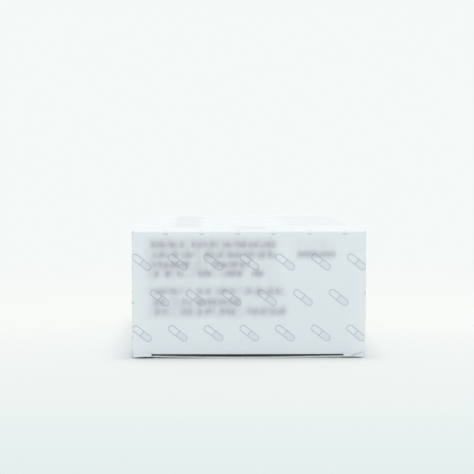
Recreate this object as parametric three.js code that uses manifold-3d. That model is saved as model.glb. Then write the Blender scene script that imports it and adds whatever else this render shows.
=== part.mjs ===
// A tablet carton: a folded sheet of white board, closed at each end by a tuck flap lid, holding two stacks
// of foil blister packs on a folded leaflet. Millimetres, +Z up, front towards -Y, origin at the middle of
// the base. The carton is sized from its contents outwards, as a packaging drawing is.
import * as THREE from "three";
import { mergeVertices } from "three/addons/utils/BufferGeometryUtils.js";
import Module from "manifold-3d";

const wasm = await Module();
wasm.setup();

// Board and folds
const board = 0.5;
const creaseRadius = 0.9;
const foldGap = 0.3;
const glueFlapWidth = 12;
const glueFlapSetback = 3;
const glueFlapTaper = 3.2;
const seamEdgeLift = 0.45;

// Blister packs
const blisterWidth = 37.2;
const blisterLength = 97;
const blisterCorner = 3.5;
const webThickness = 0.5;
const pocketRows = 5;
const pocketColumns = 2;
const pocketBaseRadius = 8.2;
const pocketShoulderRadius = 6.4;
const pocketTopRadius = 5.2;
const pocketHeight = 6.4;
const pocketShoulderDrop = 1;
const pocketEndMargin = 3.9;
const pocketSideMargin = 1.8;
const pocketFacets = 12;
const packsPerStack = 5;

// Folded leaflet
const leafletPlies = 7;
const plyThickness = 0.3;
const plyGap = 0.15;

// Room round the contents
const restGap = 0.2;
const stackGap = 0.6;
const sideRoom = 1;
const endRoom = 2.2;
const headRoom = 2.7;
const leafletSideRoom = 6.5;
const leafletEndRoom = 3;

// Dust flaps, the four inner side flaps
const dustFlapLength = 26;
const dustFlapCorner = 5;
const dustFlapTopGap = 0.3;
const dustFlapTopFall = 1.3;
const dustFlapLockGap = 0.7;
const dustFlapLockLength = 7;
const dustFlapStep = 3;
const dustFlapFootRise = 1.6;

// Tuck lids
const lidSideGap = 0.35;
const tuckFoldRadius = 1;
const tuckFoldLift = 0.6;
const swingGap = 0.15;
const tipGap = 0.7;
const tuckSideGap = 0.7;
const tuckSideTaper = 1.5;
const tuckCorner = 8;
const tuckShoulderSetback = 1.2;
const earWidth = 6.3;
const earLift = 0.85;
const earCorner = 0.8;

// Facets in each curve of a section, and in the wider corners
const foldSegments = 2;
const cornerSegments = 3;

// The contents, from the floor up
const packPitch = webThickness + pocketHeight + restGap;
const leafletThickness = leafletPlies * plyThickness + (leafletPlies - 1) * plyGap;
const leafletBase = board + restGap;
const packsBase = leafletBase + leafletThickness + restGap;
const innerHeight = packsBase + packsPerStack * packPitch + headRoom;

// The carton round them
const halfInnerWidth = blisterWidth + stackGap / 2 + sideRoom;
const halfWidth = halfInnerWidth + board;
const height = innerHeight + board;
const flapInnerFace = blisterLength / 2 + endRoom;
const sleeveEnd = flapInnerFace + board;
const lidInnerFace = sleeveEnd + foldGap;
const lidOuterFace = lidInnerFace + board;

// The lid turns about the middle of the board at the top crease. Its tuck flap rises to the tip just
// enough to swing out over the floor panel, and the tip stays under the blister packs.
const hinge = { y: -lidOuterFace + board / 2, z: height - board / 2 };
const foldCentre = { y: -lidOuterFace + tuckFoldRadius, z: board + tuckFoldLift + tuckFoldRadius };
const swingRadius = hinge.z - board - swingGap;
const tipUnderside = packsBase - tipGap - board;
const tipY = hinge.y + Math.sqrt(swingRadius ** 2 - (hinge.z - tipUnderside) ** 2);
const tuckTilt = tiltToTip();
const earEdge = halfWidth - lidSideGap - earWidth;
const lidHalfWidth = halfWidth - lidSideGap;

// The leaflet lies on the floor between the tips of the two tuck flaps
const leafletWidth = 2 * (halfInnerWidth - leafletSideRoom);
const leafletLength = 2 * (-tipY - leafletEndRoom);

const far = 2 * (lidOuterFace + halfWidth + height);

// The angle at which the underside of the tuck flap leaves the fold to reach its tip
function tiltToTip() {
  const run = tipY - foldCentre.y;
  const rise = tipUnderside - foldCentre.z;
  return Math.atan2(rise, run) + Math.asin(tuckFoldRadius / Math.hypot(run, rise));
}

// A closed geometry as a solid that can be joined and cut
function solidFrom(geometry) {
  const bare = geometry.index ? geometry.toNonIndexed() : geometry.clone();
  bare.deleteAttribute("normal");
  bare.deleteAttribute("uv");
  const merged = mergeVertices(bare, 1e-4);
  return new wasm.Manifold(
    new wasm.Mesh({
      numProp: 3,
      vertProperties: merged.attributes.position.array,
      triVerts: new Uint32Array(merged.index.array),
    }),
  );
}

function geometryFrom(solid) {
  const { vertProperties, triVerts } = solid.getMesh();
  const indexed = new THREE.BufferGeometry();
  indexed.setAttribute("position", new THREE.BufferAttribute(new Float32Array(vertProperties), 3));
  indexed.setIndex(new THREE.BufferAttribute(new Uint32Array(triVerts), 1));
  const geometry = indexed.toNonIndexed();
  geometry.computeVertexNormals();
  return geometry;
}

function extrude(shape, depth, curveSegments) {
  return new THREE.ExtrudeGeometry(shape, { depth, curveSegments, bevelEnabled: false });
}

// A shape drawn in X and Z, pushed along Y from one place to another
function alongY(shape, fromY, toY, segments = foldSegments) {
  const turn = new THREE.Matrix4().set(1, 0, 0, 0, 0, 0, -1, toY, 0, 1, 0, 0, 0, 0, 0, 1);
  return solidFrom(extrude(shape, toY - fromY, segments).applyMatrix4(turn));
}

// A shape drawn in Y and Z, pushed along X
function alongX(shape, fromX, toX, segments = foldSegments) {
  const turn = new THREE.Matrix4().set(0, 0, 1, fromX, 1, 0, 0, 0, 0, 1, 0, 0, 0, 0, 0, 1);
  return solidFrom(extrude(shape, toX - fromX, segments).applyMatrix4(turn));
}

// A shape drawn in X and Y, pushed along Z
function alongZ(shape, fromZ, toZ, segments = foldSegments) {
  return solidFrom(extrude(shape, toZ - fromZ, segments).translate(0, 0, fromZ));
}

function block(from, to) {
  const size = to.map((value, i) => value - from[i]);
  const middle = to.map((value, i) => (value + from[i]) / 2);
  return solidFrom(new THREE.BoxGeometry(...size).translate(...middle));
}

function mirrored(solid, axis) {
  return solid.mirror(axis);
}

// A quarter turn or less of a rounded corner, added to a shape or path
function corner(path, x, y, radius, fromDegrees, toDegrees) {
  const from = THREE.MathUtils.degToRad(fromDegrees);
  const to = THREE.MathUtils.degToRad(toDegrees);
  path.absarc(x, y, radius, from, to, to < from);
}

// Sleeve: four panels and the glue flap, seen from the front. The bottom panel turns up inside the left
// panel as the glue flap, so the left panel's raw edge shows along the bottom left corner.
function sleeveSection() {
  const right = halfWidth - creaseRadius;
  const top = height - creaseRadius;
  const glueCrease = -halfWidth + board + creaseRadius;
  const seamAngle = -Math.asin((creaseRadius - seamEdgeLift) / creaseRadius);
  const seamDegrees = 180 - THREE.MathUtils.radToDeg(seamAngle);
  const outer = new THREE.Shape();
  outer.moveTo(glueCrease, 0);
  corner(outer, right, creaseRadius, creaseRadius, -90, 0);
  corner(outer, right, top, creaseRadius, 0, 90);
  corner(outer, -right, top, creaseRadius, 90, 180);
  outer.lineTo(-halfWidth, seamEdgeLift);
  corner(outer, glueCrease, creaseRadius, creaseRadius, seamDegrees, 270);

  const innerRadius = creaseRadius - board;
  const glueFace = -halfInnerWidth + board;
  const hole = new THREE.Path();
  hole.moveTo(glueCrease, board);
  corner(hole, right, creaseRadius, innerRadius, -90, 0);
  corner(hole, right, top, innerRadius, 0, 90);
  corner(hole, -right, top, innerRadius, 90, 180);
  hole.lineTo(-halfInnerWidth, glueFlapWidth);
  hole.lineTo(glueFace, glueFlapWidth);
  corner(hole, glueCrease, creaseRadius, innerRadius, 180, 270);
  outer.holes.push(hole);
  return outer;
}

// What is trimmed off the front end of the glue flap: it starts behind the panels' end and tapers
function glueFlapTrim() {
  const start = -sleeveEnd + glueFlapSetback;
  const trim = new THREE.Shape([
    new THREE.Vector2(-far, creaseRadius),
    new THREE.Vector2(start, creaseRadius),
    new THREE.Vector2(start + glueFlapTaper, glueFlapWidth + board),
    new THREE.Vector2(-far, glueFlapWidth + board),
  ]);
  return alongX(trim, -halfInnerWidth, -halfInnerWidth + 2 * board);
}

// The side panels stop where the dust flaps' creases begin
function sideTrim() {
  const from = [halfWidth - creaseRadius, -far, creaseRadius];
  const to = [far, -sleeveEnd + creaseRadius, height - creaseRadius];
  return block(from, to);
}

// The right front dust flap, folded in behind the lid: its outline from the front
function dustFlapOutline() {
  const root = halfWidth + board;
  const tip = halfWidth - dustFlapLength;
  const top = height - creaseRadius - dustFlapTopGap;
  const foot = foldCentre.z - (tuckFoldRadius - board) + dustFlapLockGap;
  const lockEnd = halfWidth - dustFlapLockLength;
  const heel = foot + dustFlapStep;
  const toe = heel + dustFlapFootRise;
  const outline = new THREE.Shape();
  outline.moveTo(root, foot);
  outline.lineTo(root, top);
  corner(outline, tip + dustFlapCorner, top - dustFlapTopFall - dustFlapCorner, dustFlapCorner, 90, 180);
  corner(outline, tip + dustFlapCorner, toe + dustFlapCorner, dustFlapCorner, 180, 270);
  outline.lineTo(lockEnd - dustFlapStep, heel);
  outline.lineTo(lockEnd, foot);
  return outline;
}

// The same flap from above: a stretch of side panel, the crease and the flap itself
function dustFlapFold() {
  const x = halfWidth - creaseRadius;
  const y = -sleeveEnd + creaseRadius;
  const root = y + board;
  const fold = new THREE.Shape();
  fold.moveTo(halfWidth, root);
  fold.lineTo(halfInnerWidth, root);
  corner(fold, x, y, creaseRadius - board, 0, -90);
  fold.lineTo(halfWidth - dustFlapLength - board, -flapInnerFace);
  fold.lineTo(halfWidth - dustFlapLength - board, -sleeveEnd);
  corner(fold, x, y, creaseRadius, -90, 0);
  return fold;
}

function dustFlap() {
  const folded = alongZ(dustFlapFold(), creaseRadius, height - creaseRadius);
  const outline = alongY(dustFlapOutline(), -far, -flapInnerFace + 2 * creaseRadius, cornerSegments);
  return folded.intersect(outline);
}

function cartonSleeve() {
  let sleeve = alongY(sleeveSection(), -sleeveEnd, sleeveEnd);
  for (const front of [true, false]) {
    const end = (solid) => (front ? solid : mirrored(solid, [0, 1, 0]));
    sleeve = sleeve.subtract(end(glueFlapTrim()));
    for (const right of [true, false]) {
      const side = (solid) => (right ? solid : mirrored(solid, [1, 0, 0]));
      sleeve = sleeve.subtract(end(side(sideTrim())));
      sleeve = sleeve.add(end(side(dustFlap())));
    }
  }
  return sleeve;
}

// The front lid from the side: a round bead on the hinge, the panel, the fold and the tuck flap
function lidSection() {
  const turned = 180 + THREE.MathUtils.radToDeg(tuckTilt) + 90;
  const inner = tuckFoldRadius - board;
  const along = new THREE.Vector2(Math.cos(tuckTilt), Math.sin(tuckTilt));
  const normal = new THREE.Vector2(-along.y, along.x);
  const tip = new THREE.Vector2(tipY, tipUnderside);
  const tipTop = tip.clone().addScaledVector(normal, board);
  const section = new THREE.Shape();
  section.moveTo(-lidOuterFace, hinge.z);
  corner(section, foldCentre.y, foldCentre.z, tuckFoldRadius, 180, turned);
  section.lineTo(tip.x, tip.y);
  section.lineTo(tipTop.x, tipTop.y);
  corner(section, foldCentre.y, foldCentre.z, inner, turned, 180);
  corner(section, hinge.y, hinge.z, board / 2, 0, 180);
  return section;
}

// The flat panel of the lid with its two ears, from the front. Between the ears it ends at the fold.
function lidPanelOutline() {
  const outline = new THREE.Shape();
  outline.moveTo(lidHalfWidth, hinge.z);
  outline.lineTo(-lidHalfWidth, hinge.z);
  corner(outline, -lidHalfWidth + earCorner, earLift + earCorner, earCorner, 180, 270);
  outline.lineTo(-earEdge, earLift);
  outline.lineTo(-earEdge, foldCentre.z);
  outline.lineTo(earEdge, foldCentre.z);
  outline.lineTo(earEdge, earLift);
  corner(outline, lidHalfWidth - earCorner, earLift + earCorner, earCorner, 270, 360);
  return outline;
}

// The tuck flap from above: full width behind the slits at its shoulders, round at the tip's corners
function tuckOutline() {
  const shoulder = -lidInnerFace + tuckShoulderSetback;
  const halfShoulder = halfInnerWidth - board - tuckSideGap;
  const halfTip = halfShoulder - tuckSideTaper;
  const outline = new THREE.Shape();
  outline.moveTo(-earEdge, hinge.y - board);
  outline.lineTo(earEdge, hinge.y - board);
  outline.lineTo(earEdge, shoulder);
  outline.lineTo(halfShoulder, shoulder);
  corner(outline, halfTip - tuckCorner, tipY - tuckCorner, tuckCorner, 0, 90);
  corner(outline, -halfTip + tuckCorner, tipY - tuckCorner, tuckCorner, 90, 180);
  outline.lineTo(-halfShoulder, shoulder);
  outline.lineTo(-earEdge, shoulder);
  return outline;
}

function frontLid() {
  const section = alongX(lidSection(), -lidHalfWidth, lidHalfWidth);
  const bead = section.intersect(block([-far, -far, foldCentre.z], [far, -lidInnerFace, far]));
  const tuck = section.intersect(alongZ(tuckOutline(), -far, hinge.z / 2, cornerSegments));
  const panel = alongY(lidPanelOutline(), -lidOuterFace, -lidInnerFace);
  return panel.add(bead).add(tuck);
}

// One tablet pocket, a turned dome that flares out to the web it is pressed from
function pocket(x, y) {
  const profile = [
    [0, webThickness / 2],
    [pocketBaseRadius, webThickness / 2],
    [pocketBaseRadius, webThickness],
    [pocketShoulderRadius, webThickness + pocketHeight - pocketShoulderDrop],
    [pocketTopRadius, webThickness + pocketHeight],
    [0, webThickness + pocketHeight],
  ].map(([radius, z]) => new THREE.Vector2(radius, z));
  const turned = new THREE.LatheGeometry(profile, pocketFacets);
  return solidFrom(turned.rotateX(Math.PI / 2).translate(x, y, 0));
}

function blisterOutline() {
  const x = blisterWidth / 2 - blisterCorner;
  const y = blisterLength / 2 - blisterCorner;
  const outline = new THREE.Shape();
  outline.moveTo(-x, -y - blisterCorner);
  corner(outline, x, -y, blisterCorner, -90, 0);
  corner(outline, x, y, blisterCorner, 0, 90);
  corner(outline, -x, y, blisterCorner, 90, 180);
  corner(outline, -x, -y, blisterCorner, 180, 270);
  return outline;
}

function blisterPack() {
  const spreadX = blisterWidth - 2 * (pocketSideMargin + pocketBaseRadius);
  const spreadY = blisterLength - 2 * (pocketEndMargin + pocketBaseRadius);
  let pack = alongZ(blisterOutline(), 0, webThickness);
  for (let column = 0; column < pocketColumns; column++) {
    for (let row = 0; row < pocketRows; row++) {
      const x = (column / (pocketColumns - 1) - 0.5) * spreadX;
      const y = (row / (pocketRows - 1) - 0.5) * spreadY;
      pack = pack.add(pocket(x, y));
    }
  }
  return pack;
}

// The leaflet, folded to and fro like an accordion: flat plies with a round fold at alternate ends
function leaflet() {
  const pitch = plyThickness + plyGap;
  const foldRadius = (pitch + plyThickness) / 2;
  const straight = leafletLength / 2 - foldRadius;
  const halfPly = leafletWidth / 2;
  let stack = null;
  for (let ply = 0; ply < leafletPlies; ply++) {
    const z = ply * pitch;
    const sheet = block([-halfPly, -straight, z], [halfPly, straight, z + plyThickness]);
    stack = stack ? stack.add(sheet) : sheet;
    if (ply === leafletPlies - 1) break;
    const atFront = ply % 2 === 0;
    const y = atFront ? -straight : straight;
    const middle = z + foldRadius;
    const fold = new THREE.Shape();
    fold.moveTo(y, middle - foldRadius);
    corner(fold, y, middle, foldRadius, -90, atFront ? -270 : 90);
    stack = stack.add(alongX(fold, -halfPly, halfPly));
  }
  return stack;
}

const cartonBoard = () =>
  new THREE.MeshStandardMaterial({ color: 0xdce3e6, roughness: 0.55, metalness: 0 });
const foil = () => new THREE.MeshStandardMaterial({ color: 0xcfd1d4, roughness: 0.32, metalness: 1 });
const paper = () => new THREE.MeshStandardMaterial({ color: 0xf0efea, roughness: 0.85, metalness: 0 });

function mesh(name, solid, material) {
  const made = new THREE.Mesh(geometryFrom(solid), material);
  made.name = name;
  return made;
}

const carton = new THREE.Group();
const lid = frontLid();
carton.add(mesh("carton_sleeve", cartonSleeve(), cartonBoard()));
carton.add(mesh("front_lid", lid, cartonBoard()));
carton.add(mesh("rear_lid", mirrored(lid, [0, 1, 0]), cartonBoard()));

const insert = mesh("leaflet", leaflet(), paper());
insert.position.z = leafletBase;
carton.add(insert);

const pack = blisterPack();
for (const [side, sign] of [["left", -1], ["right", 1]]) {
  for (let level = 0; level < packsPerStack; level++) {
    const blister = mesh(`blister_${side}_${level + 1}`, pack, foil());
    const x = (sign * (blisterWidth + stackGap)) / 2;
    blister.position.set(x, 0, packsBase + level * packPitch);
    carton.add(blister);
  }
}

export default carton;
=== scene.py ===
# %% [markdown]
# # A box of tablets in folded board
# A small white carton, photographed square-on to one end. Its rigid model is already made: a sleeve, two
# hinged end lids, a leaflet and foil packs. This file loads it as a fixed frame and adds the surfaces
# that a camera sees: creased board, faint print, foil and thin paper. Blender works in metres, with +Z
# up. The carton's sizes are in millimetres, and MM turns one into the other.

# %% Load the frame
import math

import bpy
import numpy as np
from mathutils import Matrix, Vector
from mathutils.geometry import delaunay_2d_cdt


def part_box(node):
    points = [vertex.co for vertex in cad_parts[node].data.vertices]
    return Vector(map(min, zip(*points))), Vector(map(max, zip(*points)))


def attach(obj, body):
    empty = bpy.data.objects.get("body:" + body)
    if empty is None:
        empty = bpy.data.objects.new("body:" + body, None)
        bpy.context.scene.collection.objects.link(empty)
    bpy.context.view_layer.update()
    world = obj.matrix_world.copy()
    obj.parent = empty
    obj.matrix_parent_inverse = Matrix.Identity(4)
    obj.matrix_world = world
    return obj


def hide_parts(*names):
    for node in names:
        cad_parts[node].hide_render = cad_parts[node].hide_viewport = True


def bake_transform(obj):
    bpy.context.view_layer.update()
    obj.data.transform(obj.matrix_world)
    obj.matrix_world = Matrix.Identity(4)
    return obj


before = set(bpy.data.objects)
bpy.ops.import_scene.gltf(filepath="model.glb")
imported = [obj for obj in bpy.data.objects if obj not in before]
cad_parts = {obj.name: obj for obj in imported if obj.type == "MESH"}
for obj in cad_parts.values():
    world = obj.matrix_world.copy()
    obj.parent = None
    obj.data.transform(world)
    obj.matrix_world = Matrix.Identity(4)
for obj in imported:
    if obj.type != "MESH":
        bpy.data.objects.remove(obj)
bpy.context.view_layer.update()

MM = 0.001

# %% [markdown]
# ## The camera
# The picture was taken from in front of the closed end, a little above the lid: the top panel shows as
# a thin bright band. The horizon of that view lies well above the carton, which gives the tilt, and
# the narrow band of the top panel gives the height and the distance. The right end of the base line
# sits a little higher than the left end, so the view also turns a degree or so to the right.

# %% Camera
LOOKS_DOWN = 4.0
LOOKS_RIGHT = 1.4
camera_data = bpy.data.cameras.new("camera")
camera_data.sensor_width = 36.0
camera_data.lens = 103.5
camera_data.clip_start = 0.02
camera = bpy.data.objects.new("camera", camera_data)
bpy.context.collection.objects.link(camera)
camera.location = Vector((-15.1, -502.0, 72.0)) * MM
camera.rotation_euler = (math.radians(90.0 - LOOKS_DOWN), 0.0, math.radians(-LOOKS_RIGHT))
bpy.context.scene.camera = camera
bpy.context.scene.view_settings.view_transform = "Standard"
print("camera at", [round(v, 3) for v in camera.location], "lens", camera_data.lens)

# %% [markdown]
# ## Short calls for node trees
# Materials here are made of nodes. Written out in full, each node takes four or five lines, so a few
# helpers shorten that. The first adds any node: an input that is given a socket is linked to it, and any
# other input is set to the value. The next two add a maths node and a mix of two colours.

# %% Nodes, maths and mixes
def add(tree, kind, inputs=None, **settings):
    """A new node of that kind, with its settings made and its inputs linked or set."""
    node = tree.nodes.new(kind)
    for name, value in settings.items():
        setattr(node, name, value)
    for key, value in (inputs or {}).items():
        if isinstance(value, bpy.types.NodeSocket):
            tree.links.new(value, node.inputs[key])
        else:
            node.inputs[key].default_value = value
    return node


def maths(tree, operation, *values):
    return add(tree, "ShaderNodeMath", dict(enumerate(values)), operation=operation).outputs[0]


def mix_colours(tree, factor, first, second):
    inputs = {"Factor": factor, 6: first, 7: second}
    return add(tree, "ShaderNodeMix", inputs, data_type="RGBA").outputs[2]


print("node helpers:", [helper.__name__ for helper in (add, maths, mix_colours)])

# %% [markdown]
# The other helpers are the ones that nearly every surface needs: a smooth step between two values, a
# noise, a bump that may lie on another bump, and a new material with its main shader. Colours are picked
# on screen as numbers from 0 to 255. A shader works with linear light, so they are converted first.

# %% Steps, noise, bumps and colours
def ramp(tree, value, low, high):
    """0 at low, 1 at high, smooth between them and flat beyond; low may be the larger of the two."""
    inputs = {"Value": value, "From Min": low, "From Max": high}
    return add(tree, "ShaderNodeMapRange", inputs, interpolation_type="SMOOTHSTEP").outputs[0]


def noise(tree, place, scale, detail):
    inputs = {"Vector": place, "Scale": scale, "Detail": detail}
    return add(tree, "ShaderNodeTexNoise", inputs).outputs["Fac"]


def bump(tree, height, strength, distance, over=None):
    """A bump of that height; over is the normal of another bump that it lies on."""
    inputs = {"Height": height, "Strength": strength, "Distance": distance}
    if over is not None:
        inputs["Normal"] = over
    return add(tree, "ShaderNodeBump", inputs).outputs[0]


def new_material(name):
    material = bpy.data.materials.new(name)
    material.use_nodes = True
    tree = material.node_tree
    return material, tree, tree.nodes["Principled BSDF"]


def srgb(red, green, blue):
    """A colour picked on screen, 0 to 255, as the linear colour that shaders work with."""
    channels = []
    for value in (red, green, blue):
        value = value / 255.0
        channels.append(value / 12.92 if value <= 0.04045 else ((value + 0.055) / 1.055) ** 2.4)
    return (*channels, 1.0)


print("the middle grey of a screen, 128, is", round(srgb(128, 128, 128)[0], 3), "in linear light")

# %% [markdown]
# ## Floor and backdrop
# The carton stands on white that runs back into a white backdrop with no edge between them. One large
# plane does both. Near the carton it is matt and takes the shadow, but it is painted whiter there, a
# painted light that weakens that shadow; it is a little greyer towards the camera. Well behind, and far
# off on every side, it fades into a glow of the backdrop's own colour.

# %% Floor
BACKDROP = srgb(245, 249, 248)
FLOOR_NEAR = (0.71, 0.818, 0.83, 1.0)
FLOOR_BEFORE = (0.82, 0.855, 0.863, 1.0)
FLOOR_PAINTED_LIGHT = (0.88, 0.9, 0.9, 1.0)
FLOOR_LEVEL = -0.02 * MM


def floor_material():
    """The floor's colours by depth, in metres from the carton's middle, and its fade to the backdrop."""
    material, tree, shader = new_material("stage_floor")
    place = add(tree, "ShaderNodeNewGeometry").outputs["Position"]
    depth = add(tree, "ShaderNodeSeparateXYZ", {0: place}).outputs["Y"]
    reach = add(tree, "ShaderNodeVectorMath", {0: place}, operation="LENGTH").outputs["Value"]
    before = mix_colours(tree, ramp(tree, depth, -0.28, -0.04), FLOOR_NEAR, FLOOR_BEFORE)
    # Painted light: whiter round the carton, which weakens the carton's shadow on the floor.
    with_painted_light = mix_colours(tree, ramp(tree, depth, -0.07, 0.06), before, FLOOR_PAINTED_LIGHT)
    tree.links.new(with_painted_light, shader.inputs["Base Color"])
    shader.inputs["Roughness"].default_value = 0.9
    shader.inputs["Specular IOR Level"].default_value = 0.2
    glow = add(tree, "ShaderNodeEmission", {"Color": BACKDROP})
    fade = maths(tree, "MAXIMUM", ramp(tree, depth, 0.06, 0.35), ramp(tree, reach, 0.45, 0.9))
    both = add(tree, "ShaderNodeMixShader", {0: fade, 1: shader.outputs[0], 2: glow.outputs[0]})
    tree.links.new(both.outputs[0], tree.nodes["Material Output"].inputs["Surface"])
    return material


floor_mesh = bpy.data.meshes.new("floor")
floor_corners = [(x, y, FLOOR_LEVEL) for x, y in ((-3, -2), (3, -2), (3, 4), (-3, 4))]
floor_mesh.from_pydata(floor_corners, [], [(0, 1, 2, 3)])
floor_mesh.materials.append(floor_material())
floor = bpy.data.objects.new("floor", floor_mesh)
bpy.context.collection.objects.link(floor)
print("the floor runs from", floor_corners[0][:2], "to", floor_corners[2][:2], "in metres")

# %% [markdown]
# ## Room light and overhead light
# The front is only a little darker than the top, so most light comes evenly from the whole room, which
# is the world. One soft lamp above adds the rest and the shadow. Where the camera looks past the floor,
# or sees the room mirrored in foil, the Light Path node puts the backdrop's colour there instead.

# %% World and lamp
ROOM_LIGHT = 0.79
ROOM_COLOUR = (0.985, 0.99, 1.0, 1.0)
world = bpy.data.worlds.new("studio")
world.use_nodes = True
bpy.context.scene.world = world
room = world.node_tree
room.nodes.clear()
soft = add(room, "ShaderNodeBackground", {"Color": ROOM_COLOUR, "Strength": ROOM_LIGHT})
seen = add(room, "ShaderNodeBackground", {"Color": BACKDROP, "Strength": 1.0})
ray = add(room, "ShaderNodeLightPath").outputs
mirrored = maths(room, "MAXIMUM", ray["Is Glossy Ray"], ray["Is Transmission Ray"])
looked_at = maths(room, "MAXIMUM", ray["Is Camera Ray"], mirrored)
sky = add(room, "ShaderNodeMixShader", {0: looked_at, 1: soft.outputs[0], 2: seen.outputs[0]})
add(room, "ShaderNodeOutputWorld", {"Surface": sky.outputs[0]})

lamp = bpy.data.lights.new("overhead", "AREA")
lamp.shape = "DISK"
lamp.size = 0.4
lamp.energy = 3.15
lamp.color = (1.0, 0.95, 0.83)
overhead = bpy.data.objects.new("overhead", lamp)
bpy.context.collection.objects.link(overhead)
overhead.location = (0.02, 0.02, 1.0)
overhead.rotation_euler = (-overhead.location).to_track_quat("-Z", "Y").to_euler()
print("room light", ROOM_LIGHT, "and a disc", round(lamp.size, 2), "m wide of", round(lamp.energy, 2), "W")

# %% [markdown]
# ## The carton's sizes
# The outer sizes are read from the frame, in millimetres, so the surfaces made here lie on the rigid
# model. The board is 0.38 mm thick where the rigid model has 0.5 mm, because its raw edges are seen
# beside the dark line under the lid. The slits that cut the ears free are measured from the lid's
# middle, left and right.

# %% Sizes
BOARD = 0.38
CREASE = 0.9
sleeve_high = np.array(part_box("carton_sleeve")[1]) / MM
lid_low, lid_high = (np.array(corner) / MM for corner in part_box("front_lid"))
HALF_WIDTH = float(sleeve_high[0])
HEIGHT = float(sleeve_high[2])
SLEEVE_END = float(sleeve_high[1])
LID_FACE = -float(lid_low[1])
LID_HALF = float(lid_high[0])
TOP_END = LID_FACE - CREASE
TUCK_TIP = float(lid_high[1])
EAR_BOTTOM = float(lid_low[2])
EAR_SLITS = {"front_lid": (32.55, 31.5), "rear_lid": (32.7, 32.7)}
print("carton:", [round(v, 1) for v in (2 * HALF_WIDTH, 2 * LID_FACE, HEIGHT)], "mm")

# %% [markdown]
# ## Cutting a flat blank
# A carton starts as one flat blank: a die cuts it and presses its crease lines, and a machine folds it.
# The same two steps are done here. Modelling each panel as a box would be quicker, but it would lose the
# rounded creases, the raw edges, and printing that runs on from panel to panel. First come grid lines
# through every crease, and a border with a point wherever it crosses one, so that the sheet can bend.

# %% Grid lines and border
def spaced(marks, step):
    """Grid lines through every mark, with no gap between lines wider than step."""
    lines = []
    for low, high in zip(marks[:-1], marks[1:]):
        count = max(1, math.ceil((high - low) / step))
        lines.extend(np.linspace(low, high, count, endpoint=False))
    return np.array([*lines, marks[-1]])


def cross_lines(outline, columns, rows):
    """The outline with a point added wherever it crosses a grid line."""
    points = []
    for (x0, y0), (x1, y1) in zip(outline, outline[1:] + outline[:1]):
        cuts = {0.0}
        for start, end, lines in ((x0, x1, columns), (y0, y1, rows)):
            if abs(end - start) > 1e-6:
                along = (lines - start) / (end - start)
                cuts.update(float(a) for a in along if 0.01 < a < 0.99)
        for a in sorted(cuts):
            points.append((x0 + a * (x1 - x0), y0 + a * (y1 - y0)))
    return points


def arc(cx, cy, radius, start, end, count):
    """Points on an arc round (cx, cy), from the start angle to the end angle in degrees."""
    angles = np.radians(np.linspace(start, end, count))
    return [(cx + radius * math.cos(a), cy + radius * math.sin(a)) for a in angles]


print("lines over 10 mm, at most 4 mm apart:", spaced([0.0, 10.0], 4.0).round(2).tolist())

# %% [markdown]
# Grid points outside the outline are dropped, and so are those that nearly touch it, because they would
# make slivers. Blender's own triangulation, delaunay_2d_cdt, then joins the border and the grid.

# %% Fill an outline
BORDER_GAP = 0.12


def inside_by(points, outline, margin):
    """Which points lie inside the outline and further than margin from it."""
    inside = np.zeros(len(points), bool)
    nearest = np.full(len(points), np.inf)
    px, py = points[:, 0], points[:, 1]
    for (x0, y0), (x1, y1) in zip(outline, outline[1:] + outline[:1]):
        crosses = (y0 > py) != (y1 > py)
        rise = y1 - y0 if y1 != y0 else 1e-12
        inside ^= crosses & (px < x0 + (py - y0) * (x1 - x0) / rise)
        length = max((x1 - x0) ** 2 + (y1 - y0) ** 2, 1e-12)
        along = np.clip(((px - x0) * (x1 - x0) + (py - y0) * (y1 - y0)) / length, 0, 1)
        gap = np.hypot(px - x0 - along * (x1 - x0), py - y0 - along * (y1 - y0))
        nearest = np.minimum(nearest, gap)
    return inside & (nearest > margin)


def flat_blank(outline, columns, rows, extra=()):
    """Flat points and triangles that fill an outline, with edges along the grid lines."""
    border = cross_lines(outline, columns, rows)
    grid = np.array([(x, y) for x in columns for y in rows] + list(extra))
    grid = grid[inside_by(grid, border, BORDER_GAP)]
    points = [Vector(p) for p in border] + [Vector(p) for p in grid]
    loop = list(range(len(border)))
    flat, edges, faces, *_ = delaunay_2d_cdt(points, [], [loop], 1, 1e-5)
    return np.array([(p.x, p.y) for p in flat]), faces


print("grid points stay", BORDER_GAP, "mm clear of the border")

# %% [markdown]
# ## From a blank to a sheet of board
# Board has three kinds of surface: the printed face, the inside face and the raw edge where the die cut
# it. A fold function says where each flat point goes, at face 0 for the printed side and face 1 for the
# inside. The sheet is folded twice and joined round the edge, and each kind gets its own material. A
# Solidify modifier could give the thickness too, but here a formula can make it differ from place to
# place. Each point's flat place is kept on the mesh, so that printing can be laid out on the flat sheet.

# %% Three kinds of face
def sheet_faces(faces, outer, inner):
    """The printed, inside and raw edge faces of a sheet, all of them facing outwards."""
    count = len(outer)
    first = np.array(faces[0])
    a, b, c = outer[first[0]], outer[first[1]], outer[first[2]]
    if np.dot(np.cross(b - a, c - a), a - inner[first[0]]) < 0:
        faces = [tuple(reversed(f)) for f in faces]
    sides = {}
    for f in faces:
        for i, j in zip(f, [*f[1:], f[0]]):
            sides[(i, j)] = True
    raw = [(j, i, i + count, j + count) for i, j in sides if (j, i) not in sides]
    inside = [tuple(v + count for v in reversed(f)) for f in faces]
    return faces, inside, raw


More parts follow.
